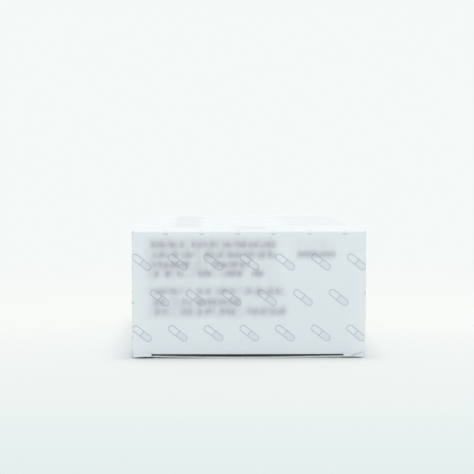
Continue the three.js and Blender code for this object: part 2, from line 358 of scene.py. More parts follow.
def sheet_mesh(name, blank, fold, materials, marks=None):
    """A mesh of the folded sheet; marks are named values worked out from the flat places."""
    flat, faces = blank
    outer = fold(flat[:, 0], flat[:, 1], 0.0)
    inner = fold(flat[:, 0], flat[:, 1], 1.0)
    kinds = sheet_faces(faces, outer, inner)
    mesh = bpy.data.meshes.new(name)
    vertices = np.concatenate([outer, inner]) * MM
    mesh.from_pydata(vertices.tolist(), [], [f for kind in kinds for f in kind])
    for material in materials:
        mesh.materials.append(material)
    slots = np.repeat([0, 1, 2], [len(kind) for kind in kinds]).astype(np.int32)
    mesh.polygons.foreach_set("material_index", slots)
    flat_places = np.zeros((len(vertices), 3))
    flat_places[:, :2] = np.tile(flat, (2, 1))
    mesh.attributes.new("flat", "FLOAT_VECTOR", "POINT").data.foreach_set("vector", flat_places.ravel())
    for key, values in (marks or {}).items():
        mesh.attributes.new(key, "FLOAT", "POINT").data.foreach_set("value", np.tile(values(flat), 2))
    mesh.validate()
    mesh.shade_smooth()
    mesh.set_sharp_from_angle(angle=math.radians(38))
    print(name, "points", len(mesh.vertices), "faces", len(mesh.polygons))
    return mesh


# %% [markdown]
# A finished sheet becomes an object. Where it belongs to one moving part it rides on that part's body,
# and it replaces the rigid solids that it is drawn over.

# %% Place a sheet
def place_sheet(name, mesh, body=None, replaces=()):
    piece = bpy.data.objects.new(name, mesh)
    bpy.context.collection.objects.link(piece)
    if body:
        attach(piece, body)
    if replaces:
        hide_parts(*replaces)
    return piece


# %% [markdown]
# ## A path through the folds
# Seen from its end, the sleeve is a line that runs straight across each panel and turns through a
# small arc at each crease. The same holds for a lid seen from the side. A path class keeps such a line
# as a table of places and facing directions against distance along it, which is the distance on the
# flat blank. Looking up a flat distance then gives the folded place.

# %% Fold path
class Path:
    """A line of straights and arcs; facing is the angle, in degrees, that the printed side looks in."""

    def __init__(self, x, y, facing):
        self.points = [(x, y, facing)]
        self.marks = {}

    def mark(self, name):
        """Keeps the distance reached so far under a name."""
        steps = np.diff(np.array(self.points)[:, :2], axis=0)
        self.marks[name] = float(np.hypot(*steps.T).sum())
        return self

    def line(self, x, y):
        self.points.append((x, y, self.points[-1][2]))
        return self

    def turn(self, cx, cy, radius, degrees, steps=6):
        start = self.points[-1][2]
        for i in range(1, steps + 1):
            facing = start + degrees * i / steps
            angle = math.radians(facing)
            self.points.append((cx + radius * math.cos(angle), cy + radius * math.sin(angle), facing))
        return self

    def finish(self):
        table = np.array(self.points)
        self.at = np.concatenate([[0.0], np.cumsum(np.hypot(*np.diff(table[:, :2], axis=0).T))])
        self.x, self.y, self.facing = table.T
        return self

    def place(self, distance, depth):
        """The folded place, depth below the printed side, and which way that side faces."""
        facing = np.radians(np.interp(distance, self.at, self.facing))
        across = np.cos(facing)
        up = np.sin(facing)
        x = np.interp(distance, self.at, self.x) - depth * across
        y = np.interp(distance, self.at, self.y) - depth * up
        return x, y, across, up


one_crease = Path(0, 0, 90).turn(0, -CREASE, CREASE, 90).mark("crease")
print("one crease takes", round(one_crease.marks["crease"], 2), "mm of the flat board")

# %% [markdown]
# The sleeve's own path starts at the free edge of the glue flap, inside the left panel. It goes down to
# the bottom, across it, up the right side, back over the top, and down the left side, which covers the
# flap. Every crease is named, because the outline, the folds and the print are placed by them.

# %% Sleeve path
GLUE_FLAP = 12.0
LEFT_FOOT = 0.45


def sleeve_path():
    edge = HALF_WIDTH - CREASE
    top = HEIGHT - CREASE
    glue = -HALF_WIDTH + BOARD
    path = Path(glue, GLUE_FLAP, 180).line(glue, CREASE).mark("glue_end")
    path.turn(glue + CREASE, CREASE, CREASE, 90).mark("bottom_start").line(edge, 0).mark("bottom_end")
    path.turn(edge, CREASE, CREASE, 90).mark("right_start").line(HALF_WIDTH, top).mark("right_end")
    path.turn(edge, top, CREASE, 90).mark("top_start").line(-edge, HEIGHT).mark("top_end")
    path.turn(-edge, top, CREASE, 90).mark("left_start").line(-HALF_WIDTH, LEFT_FOOT).mark("left_end")
    return path.finish()


SLEEVE = sleeve_path()
print("the flat sleeve is", round(SLEEVE.at[-1], 1), "mm round; creases at",
      {k: round(v, 1) for k, v in SLEEVE.marks.items()})

# %% [markdown]
# ## The repeated motif
# A small capsule outline, with a line across its middle and a faint tone in one half, covers every
# panel in a staggered lattice. An image texture could carry it, but it would blur close up. Here it is
# drawn by formula: the flat place is wrapped into a lattice cell, turned, and measured against a
# capsule, so it stays sharp at any distance.

# %% Lattice cell
MOTIF_PITCH = 11.9
MOTIF_TILT = math.radians(38)
MOTIF_SHIFT = 0.7


def lattice_cell(tree, flat):
    """Where a flat point lies in its own lattice cell, along and across the tilted motif."""
    parts = add(tree, "ShaderNodeSeparateXYZ", {0: flat})
    row = maths(tree, "ADD", maths(tree, "DIVIDE", parts.outputs["Y"], MOTIF_PITCH), MOTIF_SHIFT)
    odd = maths(tree, "FLOORED_MODULO", maths(tree, "FLOOR", row), 2.0)
    column = maths(tree, "DIVIDE", parts.outputs["X"], MOTIF_PITCH)
    column = maths(tree, "ADD", column, maths(tree, "MULTIPLY", odd, 0.5))
    x = maths(tree, "MULTIPLY", maths(tree, "SUBTRACT", maths(tree, "FRACT", column), 0.5), MOTIF_PITCH)
    y = maths(tree, "MULTIPLY", maths(tree, "SUBTRACT", maths(tree, "FRACT", row), 0.5), MOTIF_PITCH)
    cos, sin = math.cos(MOTIF_TILT), math.sin(MOTIF_TILT)
    along = maths(tree, "ADD", maths(tree, "MULTIPLY", x, cos), maths(tree, "MULTIPLY", y, sin))
    across = maths(tree, "SUBTRACT", maths(tree, "MULTIPLY", y, cos), maths(tree, "MULTIPLY", x, sin))
    return along, across


print("lattice cells across the front:", round(2 * HALF_WIDTH / MOTIF_PITCH, 1))

# %% Capsule outline
CAPSULE_STRAIGHT = 2.6
CAPSULE_RADIUS = 1.05
CAPSULE_TONE = 0.22
LINE_FULL = 0.05
LINE_END = 0.29


def soft_line(tree, distance):
    """1 on a line and 0 beside it, from the distance to the line's middle."""
    return maths(tree, "SUBTRACT", 1.0, ramp(tree, distance, LINE_FULL, LINE_END))


def capsule_pattern(tree, flat):
    """1 on the capsules' lines, a faint tone in one half of each, 0 elsewhere."""
    along, across = lattice_cell(tree, flat)
    from_middle = maths(tree, "ABSOLUTE", along)
    beyond = maths(tree, "MAXIMUM", maths(tree, "SUBTRACT", from_middle, CAPSULE_STRAIGHT), 0.0)
    square = maths(tree, "ADD", maths(tree, "POWER", beyond, 2.0), maths(tree, "POWER", across, 2.0))
    outside = maths(tree, "SUBTRACT", maths(tree, "SQRT", square), CAPSULE_RADIUS)
    outline = soft_line(tree, maths(tree, "ABSOLUTE", outside))
    within = maths(tree, "SUBTRACT", 1.0, ramp(tree, outside, -0.1, 0.05))
    middle_line = maths(tree, "MULTIPLY", soft_line(tree, from_middle), within)
    one_half = maths(tree, "MULTIPLY", within, maths(tree, "GREATER_THAN", along, 0.0))
    toned = maths(tree, "MULTIPLY", one_half, CAPSULE_TONE)
    return maths(tree, "MAXIMUM", maths(tree, "MAXIMUM", outline, middle_line), toned)


print("a capsule is", 2 * (CAPSULE_STRAIGHT + CAPSULE_RADIUS), "by", 2 * CAPSULE_RADIUS, "mm")

# %% [markdown]
# ## Printed, coated board
# The outside is a smooth white coating, slightly cool and satin. Its colour is layered, as on a press:
# coating, painted light, motif, small print. Three values on the mesh steer that: one is painted light
# that makes the coating paler where more light falls, bare is how much the motif is held back, and ink
# is how much small print there is. A stretched noise breaks the ink into short strokes, like blurred
# print. Where bare is set, the ink stays whole.

# %% Print layers
COAT_LOW = srgb(237, 244, 248)
COAT_HIGH = srgb(241, 247, 250)
COAT_PAINTED_LIGHT = srgb(250, 254, 255)
MOTIF_GREY = srgb(192, 200, 208)
PRINT_GREY = srgb(156, 150, 164)
MOTIF_STRENGTH = 0.8


def point_value(tree, name):
    return add(tree, "ShaderNodeAttribute", attribute_name=name).outputs["Fac"]


def printed_colour(tree, flat):
    """The coated face's colour, from the coating up to the small print."""
    bare = point_value(tree, "bare")
    coat = mix_colours(tree, noise(tree, flat, 0.08, 3.0), COAT_LOW, COAT_HIGH)
    # Painted light: the coating is mixed towards its palest white where more light falls on a lid.
    with_painted_light = mix_colours(tree, point_value(tree, "painted_light"), coat, COAT_PAINTED_LIGHT)
    held_back = maths(tree, "SUBTRACT", MOTIF_STRENGTH, bare)
    motif = maths(tree, "MULTIPLY", capsule_pattern(tree, flat), held_back)
    with_motif = mix_colours(tree, motif, with_painted_light, MOTIF_GREY)
    stretch = add(tree, "ShaderNodeMapping", {"Vector": flat, "Scale": (0.5, 0.2, 1.0)}).outputs[0]
    inputs = {"Value": noise(tree, stretch, 1.0, 1.0), "From Min": 0.3, "From Max": 0.6, "To Min": 0.55}
    strokes = add(tree, "ShaderNodeMapRange", inputs).outputs[0]
    whole = maths(tree, "MAXIMUM", strokes, maths(tree, "MULTIPLY", bare, 2.0))
    ink = maths(tree, "MULTIPLY", point_value(tree, "ink"), whole)
    return mix_colours(tree, ink, with_motif, PRINT_GREY)


print("the motif is printed at", MOTIF_STRENGTH, "of its full grey")

# %% [markdown]
# The coating isn't perfectly smooth. A very fine bump stands for the coating itself, and a broader one
# lies on it for the board below. The fine noise also varies the roughness, which is high, because the
# board's sheen is soft and shows no mirror image.

# %% Coated board
def coated_board():
    material, tree, shader = new_material("coated_board")
    flat = add(tree, "ShaderNodeAttribute", attribute_name="flat").outputs["Vector"]
    fine = noise(tree, flat, 6.0, 4.0)
    coating = bump(tree, fine, 0.06, 0.02 * MM)
    board = bump(tree, noise(tree, flat, 0.35, 2.0), 0.25, 0.08 * MM, coating)
    rough = add(tree, "ShaderNodeMapRange", {"Value": fine, "To Min": 0.5, "To Max": 0.62}).outputs[0]
    tree.links.new(printed_colour(tree, flat), shader.inputs["Base Color"])
    tree.links.new(rough, shader.inputs["Roughness"])
    tree.links.new(board, shader.inputs["Normal"])
    shader.inputs["Specular IOR Level"].default_value = 0.06
    return material


coated = coated_board()
print("coated board:", len(coated.node_tree.nodes), "nodes")

# %% [markdown]
# ## Inside face and cut edge
# Where board isn't coated, its fibres show. The inside is a warm light grey, as plain board usually is.
# The edge that the die cut is nearly white in the picture, so it is paler here, and its fibres stand
# out twice as far. Both are a fine noise for fibres over a coarser one for clouds in the pulp.

# %% Plain board
def plain_board(name, pale, dark, fibre_height):
    """Uncoated fibres between two tones, with a bump of that height in metres."""
    material, tree, shader = new_material(name)
    place = add(tree, "ShaderNodeTexCoord").outputs["Object"]
    fibre = noise(tree, place, 2600.0, 5.0)
    cloud = noise(tree, place, 260.0, 3.0)
    both = maths(tree, "MULTIPLY", maths(tree, "ADD", fibre, cloud), 0.5)
    tree.links.new(mix_colours(tree, ramp(tree, both, 0.35, 0.65), dark, pale), shader.inputs["Base Color"])
    tree.links.new(bump(tree, fibre, 0.5, fibre_height), shader.inputs["Normal"])
    shader.inputs["Roughness"].default_value = 0.85
    shader.inputs["Specular IOR Level"].default_value = 0.2
    return material


inside_board = plain_board("inside_board", srgb(204, 203, 198), srgb(193, 192, 187), 0.03 * MM)
cut_edge = plain_board("cut_edge", srgb(242, 243, 242), srgb(222, 224, 223), 0.06 * MM)
BOARD_FACES = [coated, inside_board, cut_edge]
print("board materials:", [m.name for m in BOARD_FACES])

# %% [markdown]
# ## The sleeve
# The sleeve is the bottom, the top, two sides and the glue flap, folded round and glued at one long
# edge. At each end of a side panel a dust flap turns in behind the lid. Its lower edge is cut back, so
# that it clears the tuck flap, and its two inner corners are round.

# %% Dust flap
FLAP_ROOT = SLEEVE_END - CREASE
FLAP_TURN = CREASE * math.pi / 2
FLAP_REACH = 26
FLAP_CORNER = 5.0
FLAP_FOOT = 2.3
FLAP_HEEL = 5.3


def flap_outline():
    """The dust flap's edge as pairs of height and place across, from its foot to its top."""
    top = HEIGHT - CREASE - 0.3
    middle = HALF_WIDTH - FLAP_REACH + FLAP_CORNER
    lower = arc(middle, FLAP_HEEL + 1.6 + FLAP_CORNER, FLAP_CORNER, 270, 180, 8)
    upper = arc(middle, top - 1.3 - FLAP_CORNER, FLAP_CORNER, 180, 90, 8)
    inner = [(z, x) for x, z in lower + upper]
    return [(FLAP_FOOT, HALF_WIDTH - 7), (FLAP_HEEL, HALF_WIDTH - 10), *inner, (top, HALF_WIDTH - CREASE)]


def flap_distance(x):
    """The flat distance from the carton's middle to a place across the folded dust flap."""
    return FLAP_ROOT + FLAP_TURN + (HALF_WIDTH - CREASE - x)


print("a dust flap reaches in", FLAP_REACH, "mm; its outline has", len(flap_outline()), "points")

# %% [markdown]
# The outline along one end of the blank is a list of corners in the order of the panels. The bottom
# ends straight, the top runs on to the lid's crease, each side carries a dust flap, and the glue flap
# is cut at a slant. The other end is the same list with its sign changed.

# %% Sleeve outline
GLUE_CUTS = (5.2, 2.1)


def sleeve_end_outline(end):
    """The outline along one end of the blank, in the order of the panels; end is -1 at the front."""
    m = SLEEVE.marks
    right = [(m["right_start"] + z - CREASE, flap_distance(x)) for z, x in flap_outline()]
    left = [(m["left_start"] + HEIGHT - CREASE - z, flap_distance(x)) for z, x in reversed(flap_outline())]
    points = [(0.0, FLAP_ROOT - GLUE_CUTS[0]), (m["glue_end"], FLAP_ROOT - GLUE_CUTS[1])]
    points += [(m["glue_end"], SLEEVE_END), (m["right_start"], SLEEVE_END)]
    points += [(m["right_start"], FLAP_ROOT), (right[0][0], FLAP_ROOT), *right]
    points += [(right[-1][0], FLAP_ROOT), (m["right_end"], FLAP_ROOT), (m["right_end"], TOP_END)]
    points += [(m["left_start"], TOP_END), (m["left_start"], FLAP_ROOT), (left[0][0], FLAP_ROOT)]
    points += [*left, (left[-1][0], FLAP_ROOT), (m["left_end"], FLAP_ROOT)]
    return [(s, end * t) for s, t in points]


SLEEVE_OUTLINE = sleeve_end_outline(-1) + sleeve_end_outline(1)[::-1]
print("the sleeve's outline has", len(SLEEVE_OUTLINE), "corners")

# %% [markdown]
# ## The set of a packed carton
# A packed and handled carton is never quite flat. The top sags between its edges and the sides pull in.
# The bottom bows down under its load, so its end edge lifts towards both sides, more on the left, and
# its raw edge is thicker there. The lower right edge is pressed in towards the front end. All are
# fractions of a millimetre, but they shape the dark line under the lid and the shadow on the floor.

# %% Bows and dents
TOP_SAG = 0.3
SIDE_WAIST = 0.25
EDGE_LIFT = (0.45, 0.3)
EDGE_FULL = (0.08, 0.16)
PRESSED_IN = 0.45


def press_in(x, y, z):
    """The lower right edge, pressed in a little towards the front end."""
    low = np.clip(1 - z / 14, 0, 1) * np.clip((-y - 10) / 30, 0, 1)
    return x - PRESSED_IN * low * np.clip((x - 30) / 8, 0, 1)


def settle(place, facing, face, on_flap):
    """A folded sleeve's points moved to the set of a packed one; facing is (across, up)."""
    x, y, z = place
    across, up = facing
    middle = (1 - (x / HALF_WIDTH) ** 2) * np.clip(1 - (y / TOP_END) ** 2, 0, 1)
    z = z - TOP_SAG * middle * np.clip(up, 0, 1)
    wide = np.clip((np.abs(x) - 3) / 31, 0, 1)
    lift = np.where(x < 0, *EDGE_LIFT) * wide ** 2
    full = face * np.where(x < 0, *EDGE_FULL) * wide
    z = z + (lift + full) * np.clip(1 - z / 12, 0, 1)
    waist = np.clip(1 - (z / HEIGHT * 2 - 1) ** 2, 0, 1) * np.clip(1 - (y / FLAP_ROOT) ** 2, 0, 1)
    x = x - SIDE_WAIST * waist * np.where(on_flap, 0, across)
    return np.stack([press_in(x, y, z), y, z], axis=1)


print("the bottom's end edge lifts", EDGE_LIFT, "mm at its left and right")

# %% [markdown]
# The fold itself looks up the place round the sleeve on its path, and keeps the place along it. Only
# the dust flaps need a second fold: past its root a flap turns through a quarter circle and runs in.

# %% Fold the sleeve
def fold_sleeve(s, t, face):
    """Folded places for flat places s round the sleeve and t along it."""
    depth = face * BOARD
    x, z, across, up = SLEEVE.place(s, depth)
    past = np.abs(t) - FLAP_ROOT
    on_flap = (np.abs(across) > 0.999) & (past > 0) & (s > SLEEVE.marks["right_start"])
    angle = np.clip(past / CREASE, 0, math.pi / 2)
    inwards = np.maximum(past - FLAP_TURN, 0)
    radius = CREASE - depth
    flap_x = np.sign(across) * (HALF_WIDTH - CREASE + radius * np.cos(angle) - inwards)
    flap_y = np.sign(t) * (FLAP_ROOT + radius * np.sin(angle))
    x = np.where(on_flap, flap_x, x)
    y = np.where(on_flap, flap_y, t)
    return settle((x, y, z), (across, up), face, on_flap)


print("a dust flap's fold takes", round(FLAP_TURN, 2), "mm of the flat board")

# %% [markdown]
# ## Print on the top panel
# The top panel is seen almost edge-on. Its motif is fainter than the front's, and three pale fields show
# on it, so a value for each is worked out from the flat place. How far back the fields reach can't be
# seen, so they simply end before the far lid.

# %% Fields on the top
TOP_HELD_BACK = 0.5
TOP_BASE_INK = 0.13
TOP_FIELDS = [(-26, -16, -32, 38, 0.18), (-5, 6, -48, -21, 0.16), (14, 36, -25, 38, 0.13)]


def top_bare(flat):
    """How much the motif is held back: by half a unit on the top panel, elsewhere not at all."""
    top = (flat[:, 0] > SLEEVE.marks["top_start"]) & (flat[:, 0] < SLEEVE.marks["top_end"])
    return np.where(top, TOP_HELD_BACK, 0.0)


def top_print(flat):
    """Ink on the top panel: a very faint base, and fields of left, right, front, back and strength."""
    x = HALF_WIDTH - CREASE - (flat[:, 0] - SLEEVE.marks["top_start"])
    ink = TOP_BASE_INK * top_bare(flat)
    for low, high, front, back, strength in TOP_FIELDS:
        across = np.clip(np.minimum(x - low, high - x) / 2 + 0.5, 0, 1)
        along = np.clip(np.minimum(flat[:, 1] - front, back - flat[:, 1]) / 2 + 0.5, 0, 1)
        ink = np.maximum(ink, strength * across * along)
    return ink


print("fields on the top panel:", len(TOP_FIELDS))

# %% Build the sleeve
def build_sleeve():
    turn = [FLAP_ROOT + FLAP_TURN * i / 6 for i in range(7)]
    ends = [*turn, flap_distance(HALF_WIDTH - FLAP_REACH)]
    rows = spaced([-r for r in reversed(ends)] + ends, 2.0)
    blank = flat_blank(SLEEVE_OUTLINE, spaced(SLEEVE.at, 2.0), rows)
    marks = {"ink": top_print, "bare": top_bare}
    mesh = sheet_mesh("sleeve_board", blank, fold_sleeve, BOARD_FACES, marks)
    piece = place_sheet("sleeve_board", mesh, "carton", ["carton_sleeve"])
    return piece


build_sleeve()

# %% [markdown]
# ## The lids
# Each lid is one piece with the sheet at its top crease: the closure panel, the tuck flap that folds in
# under the contents, and an ear at each lower corner, left standing in front when the slit beside it is
# cut. The ears are what shows beside the dark line of the tuck fold. Seen from the side, a lid is again
# a path: down the panel, round the tuck fold and in along the flap, which rises a little to its tip.

# %% Lid path
FOLD_RADIUS = 0.6
FOLD_BOTTOM = 1.1
FOLD_CENTRE = (-LID_FACE + FOLD_RADIUS, FOLD_BOTTOM + FOLD_RADIUS)
TIP_HEIGHT = 2.7


def lid_path():
    run = TUCK_TIP - FOLD_CENTRE[0]
    rise = TIP_HEIGHT - FOLD_CENTRE[1]
    tilt = math.atan2(rise, run) + math.asin(FOLD_RADIUS / math.hypot(run, rise))
    path = Path(-LID_FACE, HEIGHT - CREASE, 180).line(-LID_FACE, FOLD_CENTRE[1]).mark("fold")
    path.turn(*FOLD_CENTRE, FOLD_RADIUS, 90 + math.degrees(tilt), 10).mark("tuck")
    return path.line(TUCK_TIP, TIP_HEIGHT).mark("tip").finish()


LID = lid_path()
print("the flat lid, down from its crease, in mm:", {k: round(v, 1) for k, v in LID.marks.items()})

# %% [markdown]
# On the flat, the slits run up from the lower edge as far as the tuck fold, so the two ears stay in the
# panel's plane while the tuck flap between them turns in. The flap narrows to its tip, with large round
# corners that help it to slide in.

# %% Lid outline
SLIT = 0.12
EAR_CORNER = 0.6
EAR_FOOT = HEIGHT - CREASE - EAR_BOTTOM
TUCK_HALF = HALF_WIDTH - 1.7
TUCK_TAPER = 1.5
TUCK_CORNER = 8


def lid_outline(slits):
    """The flat lid's outline; slits are the places of the left and right ear's slit."""
    m = LID.marks
    shoulder = (TUCK_HALF, m["tuck"] + 0.55)
    half_tip = TUCK_HALF - TUCK_TAPER
    tip = [(x, t) for t, x in arc(m["tip"] - TUCK_CORNER, half_tip - TUCK_CORNER, TUCK_CORNER, 90, 0, 10)]
    ear_round = arc(LID_HALF - EAR_CORNER, EAR_FOOT - EAR_CORNER, EAR_CORNER, 0, 90, 6)
    halves = []
    for slit in slits:
        ear = [(LID_HALF, 0.0), *ear_round, (slit, EAR_FOOT), (slit, m["fold"])]
        halves.append([*ear, (slit - SLIT, m["fold"]), (slit - SLIT, shoulder[1]), shoulder, *tip])
    left, right = halves
    return right + [(-x, y) for x, y in reversed(left)]


def ear_points():
    """Extra points, close together, for the lower ends of both ears, where the wear is."""
    across = np.arange(31.6, LID_HALF - 0.1, 0.21)
    down = np.arange(EAR_FOOT - 2.6, EAR_FOOT - 0.1, 0.19)
    points = [(x, t) for x in across for t in down]
    return points + [(-x, t) for x, t in points]


print("extra points offered for the ears:", len(ear_points()))

# %% [markdown]
# In the fold, the ears are the exception: they go on straight down where the rest turns. The closure
# panel bows in a little. The tuck fold isn't quite straight or level: it is raised, a bit more to the
# sides, and it slopes slightly. Across each ear runs a shallow dent, in line with the fold.

# %% Fold a lid
PANEL_BOW = 0.16
FOLD_RAISED = 0.17
FOLD_SIDES = 0.08
FOLD_SLOPE = 0.0023
EAR_DENT = 0.28
DENT_HEIGHT = 0.9


def fold_lid(s, t, face, slits):
    """Folded places for flat places s across the lid and t down from its crease."""
    depth = face * BOARD
    y, z, *_ = LID.place(t, depth)
    beside = np.where(s < 0, -s - slits[0], s - slits[1])
    on_ear = (beside > -0.05) & (t < LID.marks["tuck"] + 0.2)
    y = np.where(on_ear, -LID_FACE + depth, y)
    z = np.where(on_ear, HEIGHT - CREASE - t, z)
    panel = np.clip(t / LID.marks["fold"], 0, 1)
    bow = (1 - (s / LID_HALF) ** 2) * np.sin(math.pi * panel) ** 2
    y = y + PANEL_BOW * bow
    lift = FOLD_SIDES * (s / LID_HALF) ** 2 + FOLD_RAISED - FOLD_SLOPE * s
    z = z + lift * np.clip((panel - 0.7) / 0.3, 0, 1) ** 2 * np.where(on_ear, 0, 1)
    dent = np.clip(1 - np.abs(z - EAR_BOTTOM - DENT_HEIGHT) / DENT_HEIGHT, 0, 1) * np.where(on_ear, 1, 0)
    return np.stack([s, y + EAR_DENT * dent, z], axis=1)


print("a closure panel bows in by", PANEL_BOW, "mm")

# %% [markdown]
# ## Wear on the front lid
# The front lid has been opened and closed, and its ears show it. The left ear's lower edge slants down
# to its outer corner. The right ear hangs a little lower, and its outer corner is pressed back along a
# slanting line. Both are small moves of the points near the ear's foot, and that is why the extra points
# were added there.

# %% Worn ears
BEND_DEPTH = 0.3
BEND_ENDS = (33.5, 38.4)
BEND_HEIGHT = 1.5


def bent_line(x, z):
    """Distance below the slanting line that the right ear's outer corner is bent along."""
    return (x - 36.0) * 0.294 - (z - BEND_HEIGHT) * 0.956


def bent_span(x):
    """1 where that line runs, falling to 0 at both of its ends."""
    return np.clip(np.minimum((x - BEND_ENDS[0]) / 1.5, (BEND_ENDS[1] - x) / 0.8), 0, 1)


def worn_ears(place):
    """The front lid's points, with its ears as use has left them."""
    left_slit, right_slit = EAR_SLITS["front_lid"]
    x, y, z = place.T
    below = bent_line(x, z)
    bend = np.clip(np.minimum(1 + below / 0.3, 1 - below / 1.2), 0, 1)
    bend = bend * bent_span(x) * np.clip((2.4 - z) / 0.3, 0, 1)
    low = np.clip(1 - (z - EAR_BOTTOM) / 2.5, 0, 1)
    in_front = y < -LID_FACE + BOARD + 0.3
    left_ear = (x < -left_slit + 0.05) & in_front
    right_ear = (x > right_slit - 0.05) & in_front
    left_drop = 0.35 * (x + LID_HALF) / 6.3 - 0.4
    right_drop = -0.29 - 0.03 * (x - right_slit)
    z = z + np.where(left_ear, left_drop, np.where(right_ear, right_drop, 0)) * low
    return np.stack([press_in(x, y, z), y + BEND_DEPTH * bend, z], axis=1)


print("the slanting line runs across from", BEND_ENDS[0], "to", BEND_ENDS[1], "mm right of the middle")

# %% [markdown]
# ## Print on the front lid
# Up close, the closed end carries rows of small print. None of it is drawn here: each row is a run of
# soft grey bars, and groups of rows lie on even softer fields, because blurred print also darkens the
# white between its lines. A row is its height, its strength and the two ends of each bar. A field is
# left, right, bottom, top and strength.

# %% Rows and fields
PRINT_ROWS = [
    (37.9, 0.44, [(-32.8, -21.8), (-19.5, -17.5), (-17.5, -10.5), (-8.8, 8.6)]),
    (34.6, 0.39, [(-32.1, -22.8), (-22.5, -17.8), (-14.8, 8.6)]),
    (31.3, 0.48, [(-32.1, -19.8), (-11.8, -0.1)]),
    (28.4, 0.6, [(-32.1, -30.1), (-27.8, -25.8), (-23.8, -21.8), (-17.1, -12.8), (-8.1, -2.8), (0.9, 4.9)]),
    (22.4, 0.38, [(-31.5, -22.5), (-17.1, -12.8), (-10.8, -4.5), (-1.1, 11.2)]),
    (18.8, 0.42, [(-31.5, -28.1), (-22.5, -18.8), (-17.1, -2.8)]),
    (15.7, 0.42, [(-31.5, -27.1), (-22.8, -18.5), (-17.1, -11.5), (-9.8, -4.5), (-0.8, 12.2)]),
    (34.8, 0.45, [(15.9, 28.6)]),
]
PRINT_FIELDS = [
    (-34, 9, 32.6, 40.2, 0.25), (-34, -1, 26.8, 33.4, 0.25), (-2, 6, 27, 31, 0.14),
    (-34, 12, 20.6, 24.4, 0.2), (-33, -2, 13.8, 21, 0.22), (-3, 12.5, 14, 18, 0.17),
    (14.5, 28.5, 33.2, 36.6, 0.12), (14.5, 28, 36, 40, 0.1), (-34, 10, 14, 40, 0.08),
]
print("bars of print:", sum(len(bars) for *_, bars in PRINT_ROWS), "on", len(PRINT_FIELDS), "fields")

# %% [markdown]
# Both are turned into one number for each flat point, worked out once, instead of dozens of nodes. The
# slanting line of the bent ear gets a little ink too, as painted shade along the bend. A lid's coating
# is painted paler towards its top crease and its sides, as painted light where more light falls.

# %% Ink and tint on a lid
ROW_HALF = 1.15
BEND_SHADE_INK = 0.45
PAINTED_LIGHT_STRENGTH = 0.45


def lid_painted_light(flat):
    """How much painted light makes the coating paler towards a lid's top crease and its sides."""
    down = 1 - flat[:, 1] / 25
    side = (np.abs(flat[:, 0]) - 32) / 6
    return PAINTED_LIGHT_STRENGTH * np.clip(np.maximum(down, side), 0, 1)


def small_print(flat):
    """How much ink lies at each flat point of the front lid: soft bars in rows on soft fields."""
    x = flat[:, 0]
    z = HEIGHT - CREASE - flat[:, 1]
    ink = np.zeros(len(flat))
    for height, strength, bars in PRINT_ROWS:
        row = np.exp(-(((z - height) / ROW_HALF) ** 2))
        for low, high in bars:
            edge = np.clip(np.minimum(x - low, high - x) / 1.2 + 0.5, 0, 1)
            ink = np.maximum(ink, strength * row * edge)
    haze = np.zeros(len(flat))
    for low, high, bottom, top, strength in PRINT_FIELDS:
        across = np.clip(np.minimum(x - low, high - x) / 3.0 + 0.5, 0, 1)
        up = np.clip(np.minimum(z - bottom, top - z) / 2.0 + 0.5, 0, 1)
        haze = np.maximum(haze, strength * across * up)
    ink = ink * (1 - haze) + haze
    # Painted shade: a dark line of ink along the bent ear's slanting crease.
    bend_shade = np.exp(-((bent_line(x, z) / 0.3) ** 2)) * bent_span(x) * (z < 6)
    return np.maximum(ink, BEND_SHADE_INK * bend_shade)


# %% Build the lids
LID_GRID = 0.55


def build_lid(name, node, end, ink=None, wear=None):
    """One lid; end is -1 for the front one and 1 for the rear one, which is turned half round."""
    left_slit, right_slit = EAR_SLITS[node]
    columns = spaced([-LID_HALF, -left_slit, right_slit, LID_HALF], LID_GRID)
    blank = flat_blank(lid_outline(EAR_SLITS[node]), columns, spaced(LID.at, LID_GRID), ear_points())

    def fold(s, t, face):
        place = fold_lid(s, t, face, EAR_SLITS[node])
        return (wear(place) if wear else place) * [-end, -end, 1]

    marks = {"painted_light": lid_painted_light, "ink": ink} if ink else {"painted_light": lid_painted_light}
    mesh = sheet_mesh(name, blank, fold, BOARD_FACES, marks)
    piece = place_sheet(name, mesh, node, [node])
    return piece


build_lid("front_lid_board", "front_lid", -1, small_print, worn_ears)
build_lid("rear_lid_board", "rear_lid", 1)

# %% [markdown]
# ## The top creases
# Where a lid hinges, the board is creased, not cut: one strip of it turns through a quarter circle
# between the top panel and the lid. The strip belongs to both moving parts, so it is made as a piece of
# its own, tied to neither. Its two short ends slant, because the flat part of the top panel and the lid
# aren't equally wide.

# %% Crease strips
def build_crease(name, end):
    path = Path(0, 0, 90).turn(0, -CREASE, CREASE, 90, 10).finish()
    length = path.at[-1]
    outline = [(-HALF_WIDTH + CREASE, 0), (HALF_WIDTH - CREASE, 0), (LID_HALF, length), (-LID_HALF, length)]

    def fold(s, t, face):
        out, z, *_ = path.place(t, face * BOARD)
        return np.stack([s, -TOP_END + out, HEIGHT + z], axis=1) * [-end, -end, 1]

    blank = flat_blank(outline, spaced([-LID_HALF, LID_HALF], 1.2), path.at)
    piece = place_sheet(name, sheet_mesh(name, blank, fold, BOARD_FACES))
    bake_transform(piece)
    return piece


build_crease("front_crease", -1)
build_crease("rear_crease", 1)

# %% [markdown]
# ## Pressed foil
# Inside are two stacks of cold-formed foil packs. The foil is stiff and dull, with a fine pressed grid
# and a few soft dents. The grid is two sine waves added up and used as a bump, which is cheaper than
# modelling it. A noise gives the dents and a slight change of tone.

# %% Foil material
FOIL_GRID = 0.9


